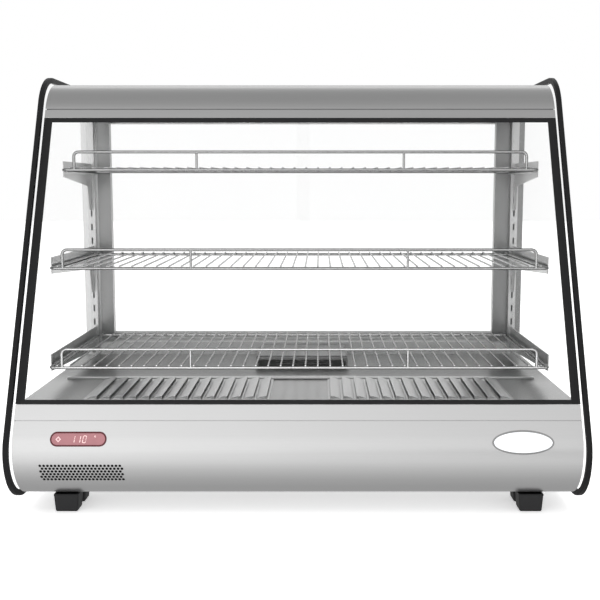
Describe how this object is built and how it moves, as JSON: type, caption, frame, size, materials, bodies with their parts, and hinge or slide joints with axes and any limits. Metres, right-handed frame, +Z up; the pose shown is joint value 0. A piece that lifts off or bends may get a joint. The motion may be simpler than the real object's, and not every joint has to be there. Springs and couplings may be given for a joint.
{
  "type": "hot food display case",
  "caption": "Countertop heated display case with slanted front glass, glass sides in black trim, wire shelves, louvred warm-air deck and sliding rear glass doors.",
  "frame": {"origin": "on the ground, at the middle of the case's width and depth", "axes": "+X to the right of a customer facing the front, the front faces -Y, +Z up"},
  "size_m": [0.874, 0.568, 0.694],
  "materials": {
    "body_steel": "fine horizontal brushed stainless steel sheet",
    "bright_steel": "brighter stainless steel with a satin finish",
    "shelf_wire": "polished plated wire",
    "clear_glass": "clear tempered glass, black printed border on the front pane",
    "edge_trim": "black satin edge trim",
    "end_cap": "dark grey satin paint",
    "foot_rubber": "black matt rubber",
    "black_plastic": "black satin plastic",
    "grey_plastic": "grey satin plastic",
    "red_plastic": "red glossy plastic",
    "track_aluminium": "satin extruded aluminium",
    "lamp_paint": "white satin paint",
    "lamp_lens": "opal diffuser",
    "heater_sheath": "heat-darkened heater tube",
    "display_red": "translucent red overlay with pale segments",
    "circuit_board": "green circuit board",
    "badge_metal": "plain pale satin plate with a blue rim line"
  },
  "bodies": {
    "case": {"front_panel": "body_steel", "front_top_strip": "body_steel", "base_plate": "body_steel", "base_side_left": "body_steel", "base_side_right": "body_steel", "rear_panel": "body_steel", "canopy_shell": "body_steel", "canopy_strip": "body_steel", "ceiling_panel": "body_steel", "rear_post_left": "body_steel", "rear_post_right": "body_steel", "deck_pan": "body_steel", "fan_hood": "body_steel", "plenum_pan": "body_steel", "bracket_bottom_left": "body_steel", "bracket_bottom_right": "body_steel", "bracket_middle_left": "body_steel", "bracket_middle_right": "body_steel", "bracket_top_left": "body_steel", "bracket_top_right": "body_steel", "side_glass_left": "clear_glass", "edge_trim_left": "edge_trim", "canopy_end_left": "end_cap", "shelf_standard_left": "bright_steel", "heater_left": "heater_sheath", "foot_front_left": "foot_rubber", "foot_rear_left": "foot_rubber", "side_glass_right": "clear_glass", "edge_trim_right": "edge_trim", "canopy_end_right": "end_cap", "shelf_standard_right": "bright_steel", "heater_right": "heater_sheath", "foot_front_right": "foot_rubber", "foot_rear_right": "foot_rubber", "front_glass": "clear_glass", "door_track_bottom": "track_aluminium", "door_track_top": "track_aluminium", "lamp_housing": "lamp_paint", "lamp_lens": "lamp_lens", "fan_frame": "black_plastic", "control_plate": "black_plastic", "cord_gland": "black_plastic", "display_window": "display_red", "display_board": "circuit_board", "badge_plate": "badge_metal"},
    "left_door": {"rear_door_left": "clear_glass", "door_pull_left": "black_plastic"},
    "right_door": {"rear_door_right": "clear_glass", "door_pull_right": "black_plastic"},
    "shelf_bottom": {"wire_shelf_bottom": "shelf_wire"},
    "shelf_middle": {"wire_shelf_middle": "shelf_wire"},
    "shelf_top": {"wire_shelf_top": "shelf_wire"},
    "louvre_left": {"louvre_plate_left": "bright_steel"},
    "louvre_right": {"louvre_plate_right": "bright_steel"},
    "fan": {"fan_rotor": "black_plastic"},
    "power_switch": {"power_rocker": "red_plastic"},
    "lamp_switch": {"lamp_rocker": "black_plastic"},
    "set_button": {"button_set": "grey_plastic"},
    "down_button": {"button_down": "grey_plastic"},
    "up_button": {"button_up": "grey_plastic"}
  },
  "joints": [
    {"name": "left_door_slide", "type": "slide", "parent": "case", "child": "left_door", "axis": [1, 0, 0], "range_m": [0, 0.4]},
    {"name": "right_door_slide", "type": "slide", "parent": "case", "child": "right_door", "axis": [1, 0, 0], "range_m": [-0.4, 0]},
    {"name": "shelf_bottom_lift", "type": "slide", "parent": "case", "child": "shelf_bottom", "axis": [0, 0, 1], "range_m": [0, 0.02]},
    {"name": "shelf_middle_lift", "type": "slide", "parent": "case", "child": "shelf_middle", "axis": [0, 0, 1], "range_m": [0, 0.002]},
    {"name": "shelf_top_lift", "type": "slide", "parent": "case", "child": "shelf_top", "axis": [0, 0, 1], "range_m": [0, 0.02]},
    {"name": "louvre_left_lift", "type": "slide", "parent": "case", "child": "louvre_left", "axis": [0, 0, 1], "range_m": [0, 0.015]},
    {"name": "louvre_right_lift", "type": "slide", "parent": "case", "child": "louvre_right", "axis": [0, 0, 1], "range_m": [0, 0.015]},
    {"name": "fan_spin", "type": "hinge", "parent": "case", "child": "fan", "pos_m": [0, 0.1345, 0.157], "axis": [0, 0, 1], "continuous": true},
    {"name": "power_rock", "type": "hinge", "parent": "case", "child": "power_switch", "pos_m": [0.2825, 0.2775, 0.118], "axis": [-1, 0, 0], "range_deg": [0, 16]},
    {"name": "lamp_rock", "type": "hinge", "parent": "case", "child": "lamp_switch", "pos_m": [0.3125, 0.2775, 0.118], "axis": [-1, 0, 0], "range_deg": [0, 16]},
    {"name": "set_button_press", "type": "slide", "parent": "case", "child": "set_button", "axis": [0, -1, 0], "range_m": [0, 0.0015], "stiffness_N_per_m": 300, "springref_m": -0.002},
    {"name": "down_button_press", "type": "slide", "parent": "case", "child": "down_button", "axis": [0, -1, 0], "range_m": [0, 0.0015], "stiffness_N_per_m": 300, "springref_m": -0.002},
    {"name": "up_button_press", "type": "slide", "parent": "case", "child": "up_button", "axis": [0, -1, 0], "range_m": [0, 0.0015], "stiffness_N_per_m": 300, "springref_m": -0.002}
  ]
}
